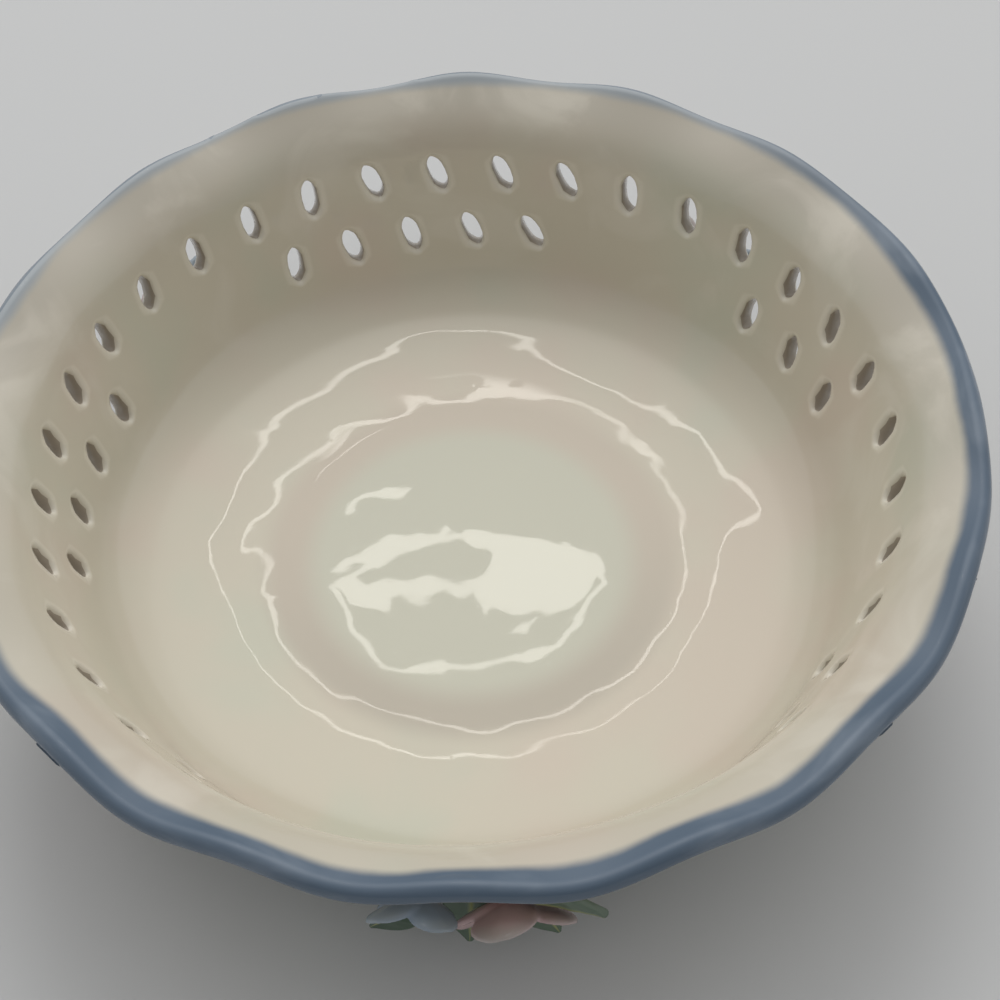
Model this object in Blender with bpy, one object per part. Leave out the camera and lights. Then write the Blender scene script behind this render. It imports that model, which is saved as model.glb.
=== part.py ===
"""Pierced candy bowl of glazed earthenware with five applied flower posies.

Frame: origin at the centre of the foot's underside, +Z up, the front posy faces -Y.
Angles run anticlockwise seen from above, from +X. All lengths are in metres.
"""
import math

import bmesh
import bpy
from mathutils import Vector

# Overall sizes of the bowl
RIM_RADIUS = 0.080
HEIGHT = 0.050
WALL = 0.004
CLEARANCE = 0.0003

# Pierced wall: a cone between the lip and the belly, with two staggered rows of leaf-shaped holes.
# The pulls say how far the section's curves keep the direction of their ends.
LIP_FLARE = 0.0118
UPPER_ROW_DROP = 0.0146
ROW_PITCH = 0.0103
ROW_LEAN = 0.0037
HOLES_AROUND = 36
HOLE_LENGTH = 0.0074
HOLE_WIDTH = 0.0037
HOLE_TILT = math.radians(7)
HOLE_START = math.radians(1.4)
LIP_ANGLE = math.radians(25)
LIP_PULL = 0.4
BELLY_FLOOR_PULL = 0.45
BELLY_WALL_PULL = 0.32

# Waved lip
WAVES = 16
WAVE_HEIGHT = 0.001
WAVE_START = math.radians(-2.9)
WAVE_HALF_WAY = 0.4

# Floor and foot
FLOOR_HEIGHT = 0.0115
FLOOR_RADIUS = 0.038
RING_RADIUS = 0.0335
DISC_RADIUS = 0.027
DISC_DROP = 0.0003
FOOT_RADIUS = 0.034
FOOT_WIDTH = 0.006
FOOT_EDGE = 0.0012
FOOT_TAPER = 0.0009

# Posies: where they sit, and how far round each one keeps the lower row unpierced
POSY_ANGLES = tuple(math.radians(a) for a in (55, 135, 205, 270, 350))
POSY_SPAN = math.radians(16.5)
POSY_DROP = 0.003
CORE_HEIGHT = 0.0026
PETALS = 5
PETAL_THICKNESS = 0.002
PETAL_MIDDLE = 0.55
PETAL_CREASE = 0.0005
PETAL_BEND = 1.5
TIP_BEND = 1.2
LEAF_THICKNESS = 0.0017

# Flowers of a posy: place along and up from the posy's own place, radius, lift of the tips, radius of
# the flat core, angle of the first petal, how round the petal ends are, how deep the notches go.
# The flowers face up a little, so the petals that point down are shorter and lie flatter.
BLUE_FLOWER = dict(name="blue", along=-0.0122, up=0.0016, radius=0.0080, lift=0.0050, core=0.0026,
                   turn=math.radians(54), roundness=3.2, notch=0.30, button=0.0020)
PINK_FLOWER = dict(name="pink", along=0.0010, up=-0.0020, radius=0.0104, lift=0.0060, core=0.0031,
                   turn=math.radians(103), roundness=2.0, notch=0.36, button=0.0024)
LOWER_PETALS_SHORT = 0.5

# Leaves of a posy: root along and up, length, width, pointing angle. A lying leaf points along the wall
# and lifts its tip; a standing leaf faces up under the flowers, points out from the wall and droops.
RIGHT_LEAF = dict(name="right", along=0.0022, up=0.0052, length=0.0108, width=0.0056,
                  turn=math.radians(-2), lift=0.0052)
LEFT_LEAF = dict(name="left", along=-0.0116, up=-0.0090, length=0.0112, width=0.0072,
                 turn=math.radians(140), droop=0.0006)
MIDDLE_LEAF = dict(name="middle", along=-0.0048, up=-0.0100, length=0.0094, width=0.0094,
                   turn=math.radians(94), droop=0.0004)
FRONT_LEAF = dict(name="front", along=0.0036, up=-0.0106, length=0.0106, width=0.0086,
                  turn=math.radians(66), droop=0.0004)

# Shapes of the pressed pieces, as shares of their sizes. A leaf's outline has the width of its root, the
# powers that set where it is broadest and how late it narrows, and how far its point narrows.
LEAF_ROOT = 0.16
LEAF_BROAD = 0.8
LEAF_TAPER = 6
LEAF_POINT = 0.75
LEAF_SECTION = ((-1.0, 0.5), (-0.5, 0.9), (0.0, 1.15), (0.5, 0.9), (1.0, 0.5), (0.7, 0.0), (-0.7, 0.0))
BUTTON_SECTION = ((1.0, 0.0), (0.94, 0.35), (0.55, 0.8))

# Mesh counts
COLUMNS = HOLES_AROUND * 4
COARSE_COLUMNS = COLUMNS // 2
BELLY_ROWS = 4
CAP_STEPS = 3
FOOT_COLUMNS = 40
PETAL_STEPS = 6
BUTTON_COLUMNS = 10
LEAF_STEPS = 6
SHARP_ANGLE = math.radians(50)


def clear_scene():
    for thing in list(bpy.data.objects):
        bpy.data.objects.remove(thing, do_unlink=True)


def glaze(name, colour, roughness):
    """A glazed colour as a plain Principled material."""
    made = bpy.data.materials.new(name)
    made.use_nodes = True
    shader = made.node_tree.nodes["Principled BSDF"]
    shader.inputs["Base Color"].default_value = (*colour, 1.0)
    shader.inputs["Roughness"].default_value = roughness
    shader.inputs["Metallic"].default_value = 0.0
    return made


def finish(name, bm, material):
    """Turn a closed bmesh into a named, smooth-shaded object."""
    bmesh.ops.recalc_face_normals(bm, faces=bm.faces)
    mesh = bpy.data.meshes.new(name)
    bm.to_mesh(mesh)
    bm.free()
    mesh.shade_smooth()
    mesh.set_sharp_from_angle(angle=SHARP_ANGLE)
    mesh.materials.append(material)
    thing = bpy.data.objects.new(name, mesh)
    bpy.context.collection.objects.link(thing)
    return thing


def bezier(start, first, second, end, t):
    """Point and direction of a cubic curve at t."""
    s = 1.0 - t
    point = start * s**3 + first * 3 * s * s * t + second * 3 * s * t * t + end * t**3
    slope = (first - start) * s * s + (second - first) * 2 * s * t + (end - second) * t * t
    return point, slope.normalized()


def outward(direction):
    """Normal on the outer side of a section line that runs from the floor up to the lip."""
    return Vector((direction.y, -direction.x))


# Section of the bowl as a middle line in (radius, height), from the floor up to the lip
UPPER_ROW = Vector((RIM_RADIUS - LIP_FLARE, HEIGHT - UPPER_ROW_DROP))
LOWER_ROW = UPPER_ROW - Vector((ROW_LEAN, ROW_PITCH))
ROW_STEP = (UPPER_ROW - LOWER_ROW).length
WALL_UP = (UPPER_ROW - LOWER_ROW).normalized()
WALL_OUT = outward(WALL_UP)
WALL_TOP = UPPER_ROW + WALL_UP * (ROW_STEP / 2)
WALL_MIDDLE = (UPPER_ROW + LOWER_ROW) / 2
WALL_BOTTOM = LOWER_ROW - WALL_UP * (ROW_STEP / 2)
LIP_END = Vector((RIM_RADIUS - WALL / 2, HEIGHT - WAVE_HEIGHT - WALL / 2))
LIP_OUT = Vector((math.cos(LIP_ANGLE), math.sin(LIP_ANGLE)))
FLOOR_EDGE = Vector((FLOOR_RADIUS, FLOOR_HEIGHT - WALL / 2))


def belly_point(t):
    """Middle line of the belly, from the floor's edge at t = 0 to the pierced wall at t = 1."""
    reach = (WALL_BOTTOM - FLOOR_EDGE).length
    first = FLOOR_EDGE + Vector((reach * BELLY_FLOOR_PULL, 0.0))
    second = WALL_BOTTOM - WALL_UP * (reach * BELLY_WALL_PULL)
    return bezier(FLOOR_EDGE, first, second, WALL_BOTTOM, t)


def lip_point(t):
    """Middle line of the flared lip, from the pierced wall at t = 0 to the lip's end at t = 1."""
    reach = (LIP_END - WALL_TOP).length
    first = WALL_TOP + WALL_UP * (reach * LIP_PULL)
    second = LIP_END - LIP_OUT * (reach * LIP_PULL)
    return bezier(WALL_TOP, first, second, LIP_END, t)


def skin(point, direction, side):
    """The section point on the outer (side 1) or inner (side -1) skin."""
    return point + outward(direction) * (side * WALL / 2)


def place(section, angle, wave=0.0):
    """A section point turned to an angle, raised by its share of the lip's wave."""
    rise = wave * WAVE_HEIGHT * math.cos(WAVES * (angle - WAVE_START))
    return Vector((section.x * math.cos(angle), section.x * math.sin(angle), section.y + rise))


def column_angle(column, count):
    return HOLE_START + 2 * math.pi * column / count


def ring(bm, section, count, wave=0.0):
    """A ring of vertices at a section point."""
    return [bm.verts.new(place(section, column_angle(c, count), wave)) for c in range(count)]


def bridge(bm, low, high):
    """Faces between two rings; the second may have twice the first's count."""
    count = len(low)
    for c in range(count):
        d = (c + 1) % count
        if len(high) == count:
            bm.faces.new((low[c], low[d], high[d], high[c]))
        else:
            near, half, far = (high[(2 * c + step) % len(high)] for step in range(3))
            bm.faces.new((low[c], half, near))
            bm.faces.new((low[c], low[d], half))
            bm.faces.new((low[d], far, half))


def is_pierced(angle):
    """Whether the lower row has a hole here: it has none behind a posy."""
    for posy in POSY_ANGLES:
        turn = (angle - HOLE_START - posy + math.pi) % (2 * math.pi) - math.pi
        if abs(turn) < POSY_SPAN:
            return False
    return True


def hole_outline(index):
    """Twelve points of a leaf-shaped hole (along, up), from its lower end round to the right."""
    steps = (-1.0, -0.74, -0.4, 0.0, 0.4, 0.74, 1.0)
    right = [(HOLE_WIDTH / 2 * (1 - s * s), HOLE_LENGTH / 2 * s) for s in steps]
    left = [(-along, up) for along, up in right[-2:0:-1]]
    tilt = HOLE_TILT * math.sin(2.4 * index)
    turned = []
    for along, up in right + left:
        turned.append((along * math.cos(tilt) - up * math.sin(tilt),
                       along * math.sin(tilt) + up * math.cos(tilt)))
    return turned


def hole_ring(bm, centre, angle, index, side):
    """Vertices of a hole's edge on one skin of the wall."""
    made = []
    for along, up in hole_outline(index):
        section = centre + WALL_UP * up + WALL_OUT * (side * WALL / 2)
        made.append(bm.verts.new(place(section, angle + along / centre.x)))
    return made


def plain_cell(bm, rim, angle, centre, side):
    """Fill an unpierced cell from the twelve vertices round it."""
    half = 2 * math.pi / COLUMNS
    section = centre + WALL_OUT * (side * WALL / 2)
    inside = [bm.verts.new(place(section, angle + half * step)) for step in (-1, 0, 1)]
    middle = [rim[11], *inside, rim[5]]
    bottom = rim[0:5]
    top = [rim[10], rim[9], rim[8], rim[7], rim[6]]
    for c in range(4):
        bm.faces.new((bottom[c], bottom[c + 1], middle[c + 1], middle[c]))
        bm.faces.new((middle[c], middle[c + 1], top[c + 1], top[c]))


def band(bm, bottoms, tops, centre, first, pierced):
    """One row of cells through the wall; each skin has its own bottom and top ring."""
    count = len(bottoms[0])
    sides = []
    for side in (-1, 1):
        section = centre + WALL_OUT * (side * WALL / 2)
        angles = [column_angle(first + 4 * k, count) for k in range(HOLES_AROUND)]
        sides.append([bm.verts.new(place(section, angle)) for angle in angles])
    for k in range(HOLES_AROUND):
        start = first + 4 * k
        angle = column_angle(start + 2, count)
        edges = []
        for which, side in enumerate((-1, 1)):
            bottom = [bottoms[which][(start + c) % count] for c in range(5)]
            top = [tops[which][(start + c) % count] for c in range(4, -1, -1)]
            near, far = sides[which][k], sides[which][(k + 1) % HOLES_AROUND]
            rim = [*bottom, far, *top, near]
            if not pierced(angle):
                plain_cell(bm, rim, angle, centre, side)
                continue
            hole = hole_ring(bm, centre, angle, k, side)
            edges.append(hole)
            for c in range(12):
                d = (c + 1) % 12
                bm.faces.new((rim[(c + 2) % 12], rim[(d + 2) % 12], hole[d], hole[c]))
        if edges:
            bridge(bm, *edges)


def bowl_body(material):
    """The cast bowl: floor, belly, pierced wall and waved lip in one piece of clay."""
    bm = bmesh.new()
    inner_floor = FLOOR_EDGE.y + WALL / 2
    disc = ring(bm, Vector((DISC_RADIUS, inner_floor - DISC_DROP)), COARSE_COLUMNS)
    edge = ring(bm, Vector((RING_RADIUS, inner_floor)), COARSE_COLUMNS)
    bm.faces.new(disc)
    bridge(bm, disc, edge)
    bottoms, middles, tops, lips = [], [], [], []
    for side in (-1, 1):
        rows = [edge] if side < 0 else []
        for step in range(BELLY_ROWS):
            rows.append(ring(bm, skin(*belly_point(step / BELLY_ROWS), side), COARSE_COLUMNS))
        rows.append(ring(bm, skin(WALL_BOTTOM, WALL_UP, side), COLUMNS))
        for low, high in zip(rows, rows[1:]):
            bridge(bm, low, high)
        if side > 0:
            bm.faces.new(rows[0])
        bottoms.append(rows[-1])
        middles.append(ring(bm, skin(WALL_MIDDLE, WALL_UP, side), COLUMNS))
        tops.append(ring(bm, skin(WALL_TOP, WALL_UP, side), COLUMNS))
        half_way = ring(bm, skin(*lip_point(0.5), side), COLUMNS, WAVE_HALF_WAY)
        end = ring(bm, skin(*lip_point(1.0), side), COLUMNS, 1.0)
        bridge(bm, tops[-1], half_way)
        bridge(bm, half_way, end)
        lips.append(end)
    cap = [lips[0]]
    for step in range(1, CAP_STEPS):
        turn = LIP_ANGLE + math.pi / 2 - math.pi * step / CAP_STEPS
        section = LIP_END + Vector((math.cos(turn), math.sin(turn))) * (WALL / 2)
        cap.append(ring(bm, section, COLUMNS, 1.0))
    cap.append(lips[1])
    for low, high in zip(cap, cap[1:]):
        bridge(bm, low, high)
    band(bm, bottoms, middles, LOWER_ROW, 0, is_pierced)
    band(bm, middles, tops, UPPER_ROW, -2, lambda angle: True)
    return finish("bowl_body", bm, material)


def foot_ring(material):
    """The turned foot that is luted under the floor."""
    top = FLOOR_HEIGHT - WALL - CLEARANCE
    outer = FOOT_RADIUS
    inner = FOOT_RADIUS - FOOT_WIDTH
    section = (
        (outer, top),
        (inner, top),
        (inner + FOOT_TAPER, FOOT_EDGE),
        (inner + FOOT_TAPER + FOOT_EDGE, 0.0),
        (outer - FOOT_TAPER - FOOT_EDGE, 0.0),
        (outer - FOOT_TAPER, FOOT_EDGE),
    )
    bm = bmesh.new()
    rings = [ring(bm, Vector(point), FOOT_COLUMNS) for point in section]
    for low, high in zip(rings, rings[1:] + rings[:1]):
        bridge(bm, low, high)
    return finish("foot_ring", bm, material)


def outer_line():
    """Outer skin's section points and normals from the floor's edge up to the lip, as meshed."""
    line = []
    for step in range(BELLY_ROWS):
        point, direction = belly_point(step / BELLY_ROWS)
        line.append((skin(point, direction, 1), outward(direction)))
    for point in (WALL_BOTTOM, LOWER_ROW, WALL_TOP):
        line.append((skin(point, WALL_UP, 1), WALL_OUT))
    return line


def wall_spot(up):
    """Section point and normal of the outer skin, a distance up the skin from the posy's place."""
    line = outer_line()
    level = len(line) - 2
    left = up - POSY_DROP
    while left < 0 and level > 0:
        length = (line[level][0] - line[level - 1][0]).length
        level -= 1
        left += length
    (low, low_out), (high, high_out) = line[level], line[level + 1]
    share = max(left, 0.0) / (high - low).length
    return low.lerp(high, share), low_out.lerp(high_out, share).normalized()


def on_wall(posy, along, up, height):
    """A point above the outer skin: along and up from a posy's place, and off the skin by height."""
    spot, normal = wall_spot(up)
    posy_radius = wall_spot(0.0)[0].x
    return place(spot + normal * height, HOLE_START + posy + along / posy_radius)


def flower(posy, number, kind, material):
    """A pressed flower with cupped petals; its core sits on the wall."""
    bm = bmesh.new()
    radius, core, lift = kind["radius"], kind["core"], kind["lift"]

    def point(reach, angle, height):
        along = kind["along"] + reach * math.cos(angle)
        up = kind["up"] + reach * math.sin(angle)
        return bm.verts.new(on_wall(posy, along, up, height))

    count = PETALS * PETAL_STEPS
    half_petal = PETAL_STEPS / 2
    rings = [[] for _ in range(5)]
    for c in range(count):
        angle = kind["turn"] + 2 * math.pi * c / count
        off_centre = abs((c + half_petal) % PETAL_STEPS - half_petal) / half_petal
        full = 1 - LOWER_PETALS_SHORT * (1 - math.sin(angle)) / 2
        tip = radius * full * (1 - kind["notch"] * off_centre ** kind["roundness"])
        middle = core + (tip - core) * PETAL_MIDDLE
        crease = PETAL_CREASE * off_centre
        middle_top = CORE_HEIGHT + lift * full * (middle / radius) ** PETAL_BEND - crease
        tip_top = CORE_HEIGHT + lift * full * (tip / radius) ** TIP_BEND - crease
        rings[0].append(point(core, angle, CORE_HEIGHT))
        rings[1].append(point(middle, angle, middle_top))
        rings[2].append(point(tip, angle, tip_top - PETAL_THICKNESS / 2))
        rings[3].append(point(middle, angle, middle_top - PETAL_THICKNESS))
        rings[4].append(point(core, angle, CLEARANCE))
    for low, high in zip(rings, rings[1:]):
        bridge(bm, low, high)
    bm.faces.new(rings[0])
    seat = point(0.0, 0.0, CLEARANCE)
    for c in range(count):
        bm.faces.new((rings[-1][c], rings[-1][(c + 1) % count], seat))
    return finish(f"{kind['name']}_flower_{number}", bm, material)


def flower_button(posy, number, kind, material):
    """The small domed centre pressed into a flower."""
    bm = bmesh.new()
    radius = kind["button"]
    seat = CORE_HEIGHT + CLEARANCE
    rings = []
    for share, rise in BUTTON_SECTION:
        row = []
        for c in range(BUTTON_COLUMNS):
            angle = 2 * math.pi * c / BUTTON_COLUMNS
            along = kind["along"] + radius * share * math.cos(angle)
            up = kind["up"] + radius * share * math.sin(angle)
            row.append(bm.verts.new(on_wall(posy, along, up, seat + radius * rise)))
        rings.append(row)
    for low, high in zip(rings, rings[1:]):
        bridge(bm, low, high)
    bm.faces.new(rings[0])
    bm.faces.new(rings[-1])
    return finish(f"{kind['name']}_button_{number}", bm, material)


def leaf(posy, number, kind, material):
    """A pressed leaf with a raised midrib, either lying on the wall or standing out under the flowers."""
    bm = bmesh.new()
    ahead, aside = math.cos(kind["turn"]), math.sin(kind["turn"])
    steps = [step / LEAF_STEPS for step in range(LEAF_STEPS + 1)]
    halves = []
    for t in steps:
        bulge = LEAF_ROOT + (1 - LEAF_ROOT) * math.sin(math.pi * t**LEAF_BROAD)
        halves.append(kind["width"] / 2 * bulge * (1 - LEAF_POINT * t**LEAF_TAPER))
    nearest = min(kind["length"] * t * aside - half * abs(ahead) for t, half in zip(steps, halves))

    def point(t, across, height):
        forward = kind["length"] * t
        along = kind["along"] + forward * ahead - across * aside
        if "lift" in kind:
            up = kind["up"] + forward * aside + across * ahead
            height += CLEARANCE + kind["lift"] * t * t
        else:
            up = kind["up"] + height - kind["droop"] * t * t
            height = CLEARANCE - nearest + forward * aside + across * ahead
        return bm.verts.new(on_wall(posy, along, up, height))

    rows = []
    for t, half in zip(steps, halves):
        rows.append([point(t, half * share, LEAF_THICKNESS * rise) for share, rise in LEAF_SECTION])
    for low, high in zip(rows, rows[1:]):
        bridge(bm, low, high)
    bm.faces.new(rows[0])
    bm.faces.new(rows[-1])
    return finish(f"{kind['name']}_leaf_{number}", bm, material)


def build():
    clear_scene()
    cream = glaze("cream_glaze", (0.80, 0.76, 0.67), 0.12)
    blue = glaze("blue_glaze", (0.36, 0.45, 0.66), 0.15)
    pink = glaze("pink_glaze", (0.78, 0.50, 0.54), 0.15)
    yellow = glaze("yellow_glaze", (0.82, 0.66, 0.28), 0.18)
    green = glaze("green_glaze", (0.20, 0.32, 0.20), 0.15)
    bowl_body(cream)
    foot_ring(cream)
    for number, posy in enumerate(POSY_ANGLES, start=1):
        for kind, material in ((BLUE_FLOWER, blue), (PINK_FLOWER, pink)):
            flower(posy, number, kind, material)
            flower_button(posy, number, kind, yellow)
        for kind in (RIGHT_LEAF, LEFT_LEAF, MIDDLE_LEAF, FRONT_LEAF):
            leaf(posy, number, kind, green)


build()
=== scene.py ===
"""Looks of a pierced candy bowl of glazed earthenware with five applied flower posies.

Frame: origin at the centre of the foot's underside, +Z up, the front posy faces -Y.
All lengths are in metres; angles run anticlockwise seen from above, from +X.
"""
import math

import bpy
from mathutils import Matrix, Vector


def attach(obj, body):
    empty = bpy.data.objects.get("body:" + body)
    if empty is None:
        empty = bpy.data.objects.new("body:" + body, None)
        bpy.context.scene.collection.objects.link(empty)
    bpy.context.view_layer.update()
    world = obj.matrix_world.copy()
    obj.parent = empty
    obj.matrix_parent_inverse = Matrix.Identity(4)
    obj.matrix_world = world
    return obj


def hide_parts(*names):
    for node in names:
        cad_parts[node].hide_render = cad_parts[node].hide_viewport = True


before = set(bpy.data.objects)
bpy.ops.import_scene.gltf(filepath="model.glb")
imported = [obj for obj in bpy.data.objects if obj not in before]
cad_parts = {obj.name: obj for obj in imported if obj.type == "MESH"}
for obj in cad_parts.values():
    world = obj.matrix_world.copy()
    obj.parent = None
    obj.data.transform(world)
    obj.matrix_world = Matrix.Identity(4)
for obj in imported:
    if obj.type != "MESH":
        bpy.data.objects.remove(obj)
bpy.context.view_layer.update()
scene = bpy.context.scene


# The bowl: a cast earthenware shell with a sunk floor, a full belly and a flared, gently waved lip.
# The holes are cut through the leather-hard wall in two staggered rows, and the cream glaze runs over
# their edges. The lip is brushed with slate blue while the glaze is wet.
RIM_RADIUS = 0.080
RIM_TOP = 0.050
WALL = 0.004
WAVES = 16
WAVE_HEIGHT = 0.001
WAVE_START = math.radians(-2.9)
WAVE_SWING = 0.00043
LIP_FORWARD = 0.00045
LIP_BULGE = 0.0008
BULGE_MIDDLE = math.radians(26)
BULGE_SPREAD = math.radians(24)
HOLES_AROUND = 36
HOLE_START = math.radians(1.4)
HOLE_LENGTH = 0.0071
HOLE_WIDTH = 0.0035
HOLE_TILT = math.radians(7)
TILT_CHANGE = 2.4
BACK_LEAN = math.radians(-27)
LEAN_MIDDLE = math.radians(80)
LEAN_SPREAD = math.radians(26)
POSY_ANGLES = [math.radians(a) for a in (55, 135, 205, 270, 350)]
POSY_SPAN = math.radians(16.5)
CELL_COLUMNS = 6
CELL_LEVELS = 3
COLUMNS = HOLES_AROUND * CELL_COLUMNS

LOWER_ROW = Vector((0.0645, 0.0251))
UPPER_ROW = Vector((0.0682, 0.0354))
WALL_UP = (UPPER_ROW - LOWER_ROW).normalized()
ROW_STEP = (UPPER_ROW - LOWER_ROW).length
WALL_TOP = UPPER_ROW + WALL_UP * (ROW_STEP / 2)
WALL_BOTTOM = LOWER_ROW - WALL_UP * (ROW_STEP / 2)
LIP_END = Vector((RIM_RADIUS - WALL / 2, RIM_TOP - WAVE_HEIGHT - WALL / 2))
LIP_ANGLE = math.radians(32)
LIP_OUT = Vector((math.cos(LIP_ANGLE), math.sin(LIP_ANGLE)))
LIP_CAP = 0.0012
LIP_THIN = 0.8
LIP_ROUND = 0.0011
FLOOR_EDGE = Vector((0.038, 0.0095))

# The dish round the flat middle of the floor, as it was pressed by hand. Each row has a radius, the slope
# there, how much steeper the far side is, and how much steeper the left and right sides are.
FLAT_HEIGHT = 0.0093
DISH = (
    (0.0310, 0.0, 0.0, 0.0),
    (0.0330, 0.029, 0.011, -0.006),
    (0.0350, 0.0355, 0.0095, -0.008),
    (0.0370, 0.0565, -0.0075, -0.010),
    (0.0395, 0.066, -0.006, -0.014),
    (0.0420, 0.094, -0.016, 0.034),
    (0.0445, 0.110, -0.019, 0.042),
    (0.0470, 0.122, -0.020, 0.036),
    (0.0500, 0.135, -0.0265, 0.035),
    (0.0515, 0.158, -0.026, 0.035),
    (0.0540, 0.300, -0.020, 0.030),
)
DISH_START = DISH[0][0]
DISH_END = DISH[-1][0]
DISH_LEVELS = 20


def dish_rise(radius, far, side):
    """Height over the flat middle, towards a place that is so far to the back and so far to a side."""
    rise = 0.0
    for inner, outer in zip(DISH, DISH[1:]):
        run = min(max(radius - inner[0], 0.0), outer[0] - inner[0])
        first, last = [row[1] + row[2] * far + row[3] * side**2 for row in (inner, outer)]
        slope = first + (last - first) * run / (outer[0] - inner[0]) / 2
        rise += run * slope
    return rise


# The mean height of the dish's edge over the flat middle, where the belly takes over.
DISH_RISE = dish_rise(DISH_END, 0.0, math.sqrt(0.5))
BELLY_LEVEL = 0.45
BELLY_STEEP = 0.32
LIP_CURL = 0.4


def curve_point(start, first, second, end, t):
    """Point of a cubic curve at t."""
    s = 1 - t
    return start * s**3 + first * 3 * s * s * t + second * 3 * s * t * t + end * t**3


def belly_point(t):
    """Middle line of the belly, from the floor's edge at t = 0 to the pierced wall at t = 1."""
    reach = (WALL_BOTTOM - FLOOR_EDGE).length
    first = FLOOR_EDGE + Vector((reach * BELLY_LEVEL, 0.0))
    second = WALL_BOTTOM - WALL_UP * (reach * BELLY_STEEP)
    return curve_point(FLOOR_EDGE, first, second, WALL_BOTTOM, t)


def lip_point(t):
    """Middle line of the lip, from the pierced wall at t = 0 to the lip's end at t = 1."""
    reach = (LIP_END - WALL_TOP).length * LIP_CURL
    return curve_point(WALL_TOP, WALL_TOP + WALL_UP * reach, LIP_END - LIP_OUT * reach, LIP_END, t)


FLAT_RADII = (0.0, 0.025, 0.0295)
BELLY_STEPS = (0.57, 0.65, 0.73, 0.82, 0.91)
LIP_STEPS = (0.22, 0.44, 0.66, 0.85, 1.0)
section = [Vector((radius, FLAT_HEIGHT)) for radius in FLAT_RADII]
for level in range(DISH_LEVELS):
    dish_radius = DISH_START + (DISH_END - DISH_START) * level / (DISH_LEVELS - 1)
    section.append(Vector((dish_radius, FLAT_HEIGHT)))
DISH_LEVEL = len(section) - 1
section += [belly_point(t) for t in BELLY_STEPS]
WALL_LEVEL = len(section)
section += [WALL_BOTTOM + WALL_UP * (ROW_STEP / CELL_LEVELS * step) for step in range(2 * CELL_LEVELS + 1)]
LIP_LEVEL = len(section) - 1
section += [lip_point(t) for t in LIP_STEPS]
section += [LIP_END + LIP_OUT * LIP_CAP]
LEVELS = len(section) - 1


def start_piece(name):
    """Names the primitive that was just added, and its mesh."""
    made = bpy.context.object
    made.name = name
    made.data.name = name
    return made


def deselect_all():
    """Deselects every object, because an operator acts on all that is selected."""
    bpy.ops.object.select_all(action="DESELECT")


def select_faces(piece, wanted):
    """Enters edit mode with the faces selected whose centre is wanted."""
    bpy.ops.object.mode_set(mode="EDIT")
    bpy.ops.mesh.select_mode(type="FACE")
    bpy.ops.mesh.select_all(action="DESELECT")
    bpy.ops.object.mode_set(mode="OBJECT")
    for face in piece.data.polygons:
        face.select = wanted(face.center)
    bpy.ops.object.mode_set(mode="EDIT")


def turn_between(start, end):
    """Angle from one direction round the bowl to another, at most half a turn either way."""
    return (end - start + math.pi) % (2 * math.pi) - math.pi


def bell(distance, spread):
    """1 in the middle, falling away smoothly to both sides."""
    return math.exp(-(distance / spread) ** 2)


def stagger(row):
    """The lower row is set half a step round from the upper one."""
    return 0.5 if row == 0 else 0.0


def hole_at(row, number):
    """Middle of a hole on the flat pattern, in columns and levels."""
    return Vector((CELL_COLUMNS * (number + stagger(row)), WALL_LEVEL + CELL_LEVELS * (row + 0.5)))


def is_pierced(row, number):
    """Whether the pattern has such a hole. The lower row has none behind a posy."""
    if row not in (0, 1) or not 0 <= number < HOLES_AROUND:
        return False
    angle = 2 * math.pi * hole_at(row, number).x / COLUMNS
    return row == 1 or min(abs(turn_between(posy, angle)) for posy in POSY_ANGLES) >= POSY_SPAN


def leaf_cut(row, number, corner, spread):
    """Where a corner of a square cut goes on a leaf-shaped line, spread outside the hole's edge."""
    turn = math.atan2(corner.y / CELL_LEVELS, corner.x / CELL_COLUMNS)
    along = HOLE_WIDTH / 2 * math.cos(turn) * abs(math.cos(turn)) + spread * math.cos(turn)
    up = (HOLE_LENGTH / 2 + spread) * math.sin(turn)
    angle = HOLE_START + 2 * math.pi * hole_at(row, number).x / COLUMNS
    lean = BACK_LEAN * bell(angle - LEAN_MIDDLE, LEAN_SPREAD)
    tilt = HOLE_TILT * math.sin(TILT_CHANGE * number) + lean
    column = 2 * math.pi * (LOWER_ROW, UPPER_ROW)[row].x / COLUMNS
    turned_along = along * math.cos(tilt) - up * math.sin(tilt)
    turned_up = along * math.sin(tilt) + up * math.cos(tilt)
    return Vector((turned_along / column, turned_up / (ROW_STEP / CELL_LEVELS)))


deselect_all()
bpy.ops.mesh.primitive_grid_add(x_subdivisions=COLUMNS, y_subdivisions=LEVELS, size=1)
bowl = start_piece("glazed_bowl")
bpy.ops.object.mode_set(mode="EDIT")
bpy.ops.transform.resize(value=(COLUMNS, LEVELS, 1))
bpy.ops.transform.translate(value=((COLUMNS - CELL_COLUMNS) / 2, LEVELS / 2, 0))
bpy.ops.object.mode_set(mode="OBJECT")
OUTER_INSET = 0.7
EDGE_INSET = 0.3
EDGE_SPREAD = 0.0007
CELL_MARGIN = 0.1
EDGE_MARK = 1.0
SPREAD_MARK = 0.8


def nearest_hole(place):
    """Row and number of the hole whose cell a place on the flat pattern lies in."""
    row = int((place.y - WALL_LEVEL) // CELL_LEVELS)
    return row, round(place.x / CELL_COLUMNS - stagger(row))


def in_cells(row, odd):
    """A test for places in every other pierced cell of a row, so that the cells it finds don't touch."""

    def test(place):
        found_row, number = nearest_hole(place)
        return found_row == row and number % 2 == odd and is_pierced(row, number)

    return test


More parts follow.
